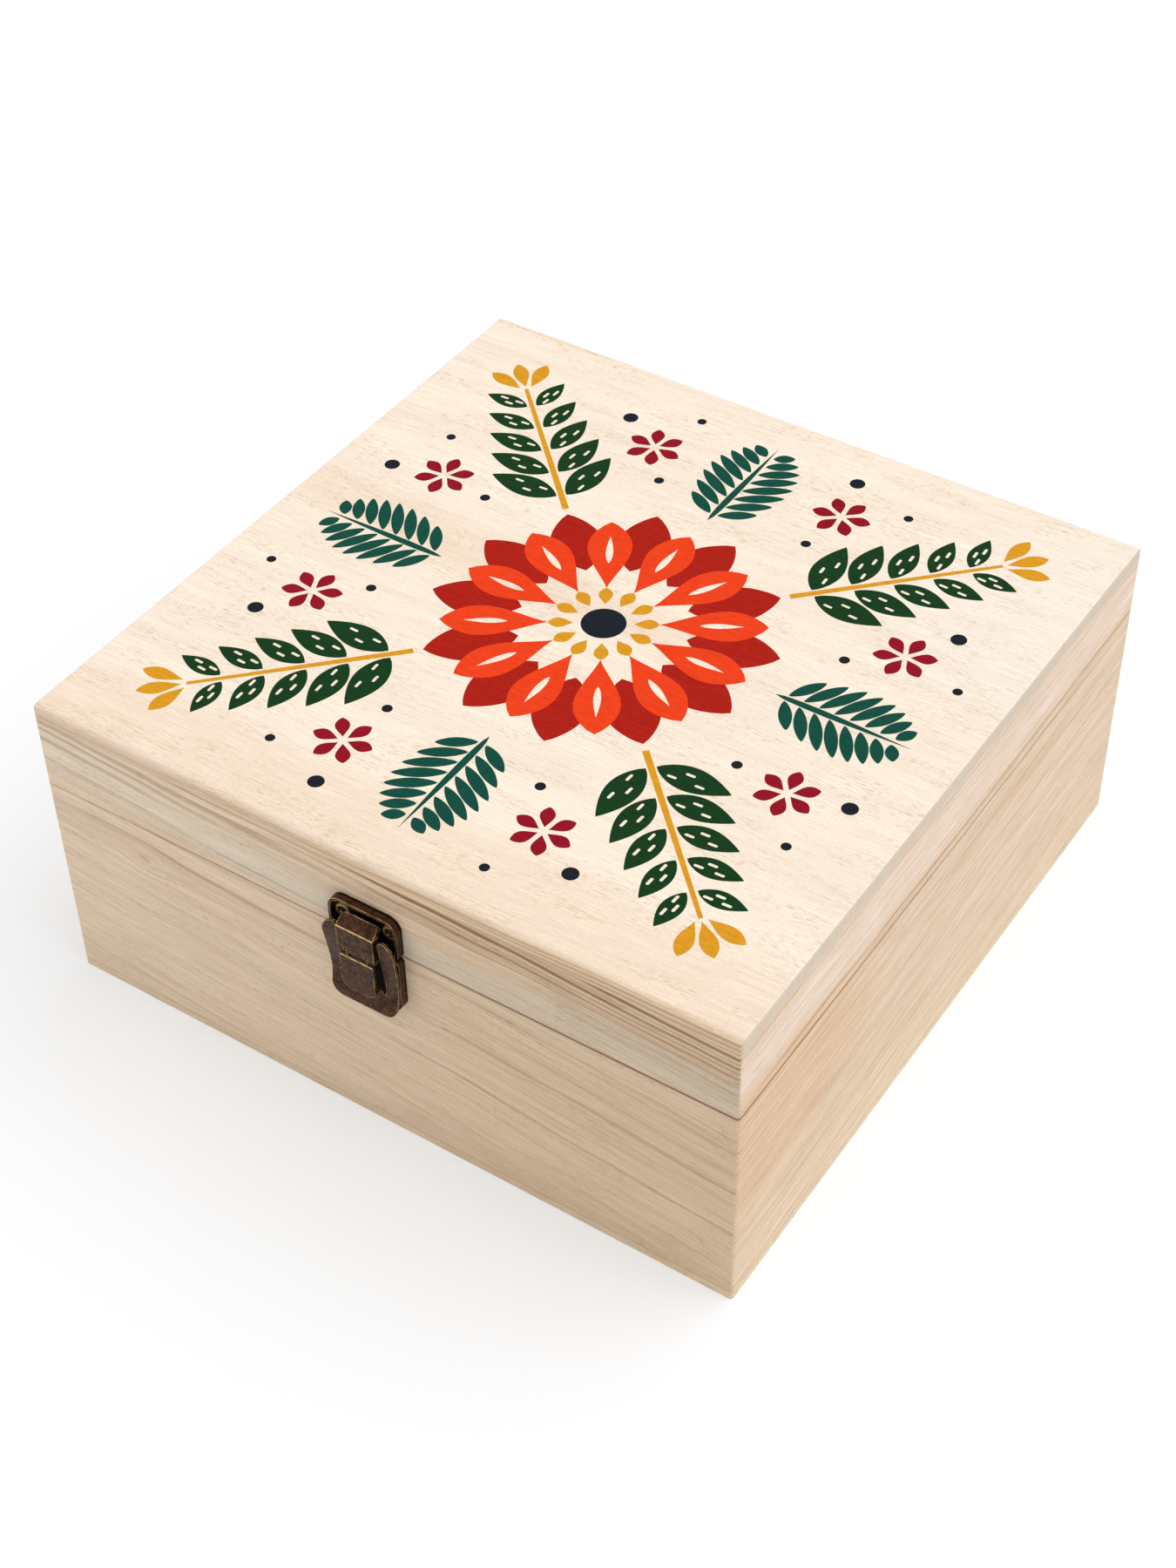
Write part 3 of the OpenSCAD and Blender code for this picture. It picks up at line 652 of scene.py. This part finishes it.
def print_piece(name, material, regions, level=0):
    """A thin film of ink on the lid, one closed solid for each region, given as an outline and its holes."""
    top = (LID_TOP + INK_OVER + level * LAYER) * MM
    bottom = (LID_TOP - INK_UNDER) * MM
    mesh = bmesh.new()
    for loops in regions:
        points = [point for loop in loops for point in loop]
        upper = [mesh.verts.new((x * MM, y * MM, top)) for x, y in points]
        lower = [mesh.verts.new((x * MM, y * MM, bottom)) for x, y in points]
        for triangle in tessellate_polygon([[Vector((x, y, 0.0)) for x, y in loop] for loop in loops]):
            mesh.faces.new([upper[i] for i in triangle])
            mesh.faces.new([lower[i] for i in reversed(triangle)])
        start = 0
        for loop in loops:
            for i in range(len(loop)):
                one, two = start + i, start + (i + 1) % len(loop)
                mesh.faces.new((upper[one], upper[two], lower[two], lower[one]))
            start += len(loop)
    bmesh.ops.recalc_face_normals(mesh, faces=mesh.faces)
    data = bpy.data.meshes.new(name)
    mesh.to_mesh(data)
    mesh.free()
    data.materials.append(material)
    piece = bpy.data.objects.new(name, data)
    bpy.context.scene.collection.objects.link(piece)
    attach(piece, "lid")


orange_ink = ink("orange_ink", srgb(246, 66, 20), seed=1.0)
rust_ink = ink("rust_ink", srgb(178, 26, 8), seed=2.0)
mustard_ink = ink("mustard_ink", srgb(226, 158, 30), seed=3.0)
green_ink = ink("green_ink", srgb(10, 56, 20), seed=4.0)
teal_ink = ink("teal_ink", srgb(6, 76, 62), seed=5.0)
crimson_ink = ink("crimson_ink", srgb(150, 6, 32), seed=6.0)
navy_ink = ink("navy_ink", srgb(20, 26, 38), seed=7.0)

# The rosette in the middle
PETALS = 12
petal_step = TURN / PETALS
rust_petals = []
orange_petals = []
mustard_petals = []
for i in range(PETALS):
    angle = i * petal_step
    rust_petals.append([turned(petal(length=30, width=17, point=0.8), angle + petal_step / 2, radius=27)])
    blade = turned(petal(length=34, width=14.5, belly=0.62, point=0.8), angle, radius=17.5)
    slit = turned(petal(length=14, width=2.4, belly=0.4), angle, radius=30)
    orange_petals.append([blade, slit])
    mustard_petals.append([turned(petal(length=8, width=4.6, belly=0.6, point=0.8), angle, radius=9.5)])
print_piece("print_rust_petals", rust_ink, rust_petals)
print_piece("print_orange_petals", orange_ink, orange_petals, level=1)
print_piece("print_mustard_petals", mustard_ink, mustard_petals)
print_piece("print_navy_middle", navy_ink, [[disc(radius=7.2)]])

# Four leafy sprigs towards the corners, each leaf smaller than the one before
SPRIG_FROM, SPRIG_LEAVES, SPRIG_PITCH, SPRIG_LENGTH = 64, 5, 13, 70
SPRIG_LEAN = math.radians(48)
BUD_LEAN = math.radians(34)
leaf_regions = []
stem_regions = []
bud_regions = []
for quarter in range(4):
    angle = TURN / 8 + quarter * TURN / 4
    stem = [(0, -1.1), (SPRIG_LENGTH, -0.7), (SPRIG_LENGTH, 0.7), (0, 1.1)]
    stem_regions.append([turned(stem, angle, radius=SPRIG_FROM - 4)])
    for i in range(SPRIG_LEAVES):
        size = 1.0 - 0.09 * i
        blade = petal(length=25 * size, width=10.5 * size, belly=0.45, point=0.9)
        cuts = [shifted(dash(length=3.2, width=1.0), (6 + 4.6 * k) * size, (1.6 if k % 2 else -1.6) * size)
                for k in range(3)]
        for side in (1, -1):
            leaf_regions.append([turned(shifted(turned(loop, side * SPRIG_LEAN, radius=2.2),
                                                SPRIG_FROM + 2 + i * SPRIG_PITCH), angle)
                                 for loop in [blade] + cuts])
    for side in (-1, 0, 1):
        bud = turned(petal(length=14, width=5.4, belly=0.6, point=0.8), side * BUD_LEAN, radius=3.4)
        bud_regions.append([turned(shifted(bud, SPRIG_FROM + 64), angle)])
print_piece("print_green_leaves", green_ink, leaf_regions)
print_piece("print_mustard_stems", mustard_ink, stem_regions)
print_piece("print_mustard_buds", mustard_ink, bud_regions, level=1)

# Four fronds between the sprigs, with leaves that are longest near the middle
FROND_FROM, FROND_LEAVES, FROND_PITCH = 62, 8, 5.2
FROND_LEAN = math.radians(58)
frond_regions = []
for quarter in range(4):
    angle = quarter * TURN / 4
    frond_regions.append([turned(petal(length=46, width=2.4, belly=0.3), angle, radius=FROND_FROM)])
    for i in range(FROND_LEAVES):
        blade = petal(length=17 * math.sin(math.pi * (0.28 + 0.66 * i / FROND_LEAVES)), width=4.2, point=0.7)
        for side in (1, -1):
            tilted = shifted(turned(blade, side * FROND_LEAN, radius=1.6), FROND_FROM + 3 + i * FROND_PITCH)
            frond_regions.append([turned(tilted, angle)])
print_piece("print_teal_fronds", teal_ink, frond_regions, level=1)

# Eight blossoms of six petals in a ring, each with three dots near it: (distance, turn from it, radius)
BLOSSOMS, BLOSSOM_PETALS, BLOSSOM_AWAY = 8, 6, 94
DOTS = ((76, -0.06, 1.7), (110, 0.1, 2.6), (112, -0.12, 1.6))
blossom_regions = []
dot_regions = []
for i in range(BLOSSOMS):
    angle = TURN / 16 + i * TURN / BLOSSOMS
    centre = turned([(0, 0)], angle, BLOSSOM_AWAY)[0]
    for k in range(BLOSSOM_PETALS):
        blade = petal(length=8.5, width=4.6, belly=0.6, point=0.8)
        tilted = turned(blade, k * TURN / BLOSSOM_PETALS + angle, radius=1.6)
        blossom_regions.append([shifted(tilted, *centre)])
    for away, offset, radius in DOTS:
        middle = turned([(0, 0)], angle + offset, away)[0]
        dot_regions.append([shifted(disc(radius, count=24), *middle)])
print_piece("print_crimson_blossoms", crimson_ink, blossom_regions)
print_piece("print_navy_dots", navy_ink, dot_regions)


def add_camera():
    forward = CAMERA_FORWARD.normalized()
    right = CAMERA_RIGHT.normalized()
    up = right.cross(forward)
    data = bpy.data.cameras.new("camera")
    data.sensor_fit = "VERTICAL"
    data.sensor_height = SENSOR_HEIGHT
    data.lens = LENS
    data.clip_start = NEAR_CLIP
    camera = bpy.data.objects.new("camera", data)
    turn = Matrix((right, up, -forward)).transposed().to_4x4()
    camera.matrix_world = Matrix.Translation(CAMERA_AT) @ turn
    bpy.context.scene.collection.objects.link(camera)
    bpy.context.scene.camera = camera


def add_light():
    """A soft sun and an even sky, which the camera sees as plain white."""
    world = bpy.data.worlds.new("world")
    bpy.context.scene.world = world
    world.use_nodes = True
    n = Nodes(world.node_tree)
    sky = n.tree.nodes["Background"]
    n.feed(sky.inputs["Color"], WHITE)
    n.feed(sky.inputs["Strength"], SKY_LEVEL)
    backdrop = n.node("ShaderNodeBackground")
    n.feed(backdrop.inputs["Color"], WHITE)
    n.feed(backdrop.inputs["Strength"], 1.0)
    choose = n.node("ShaderNodeMixShader")
    for socket, source in zip(choose.inputs, (n.seen_directly(), sky.outputs[0], backdrop.outputs[0])):
        n.feed(socket, source)
    n.feed(n.tree.nodes["World Output"].inputs[0], choose.outputs[0])
    data = bpy.data.lights.new("sun", "SUN")
    data.energy = SUN_STRENGTH
    data.angle = math.radians(SUN_SPREAD)
    sun = bpy.data.objects.new("sun", data)
    sun.rotation_euler = SUN_FROM.to_track_quat("Z", "Y").to_euler()
    bpy.context.scene.collection.objects.link(sun)


def add_floor():
    """A wide pale floor that keeps the box's shadow and looks white away from it."""
    data = bpy.data.meshes.new("floor")
    corners = [(x * FLOOR_REACH, y * FLOOR_REACH, FLOOR_LEVEL)
               for x, y in ((-1, -1), (1, -1), (1, 1), (-1, 1))]
    data.from_pydata(corners, [], [(0, 1, 2, 3)])
    material = bpy.data.materials.new("floor")
    material.use_nodes = True
    n = Nodes(material.node_tree)
    n.tree.nodes.remove(n.tree.nodes["Principled BSDF"])
    seen = n.seen_directly()
    matt = n.node("ShaderNodeBsdfDiffuse")
    n.feed(matt.inputs["Color"], n.mix(seen, FLOOR_GREY, FLOOR_SEEN))
    glow = n.node("ShaderNodeEmission")
    n.feed(glow.inputs["Strength"], n.times(seen, FLOOR_GLOW))
    both = n.node("ShaderNodeAddShader")
    n.feed(both.inputs[0], matt.outputs[0])
    n.feed(both.inputs[1], glow.outputs[0])
    n.feed(n.tree.nodes["Material Output"].inputs[0], both.outputs[0])
    data.materials.append(material)
    floor = bpy.data.objects.new("floor", data)
    bpy.context.scene.collection.objects.link(floor)


add_camera()
add_light()
add_floor()
bpy.context.scene.view_settings.view_transform = "Standard"
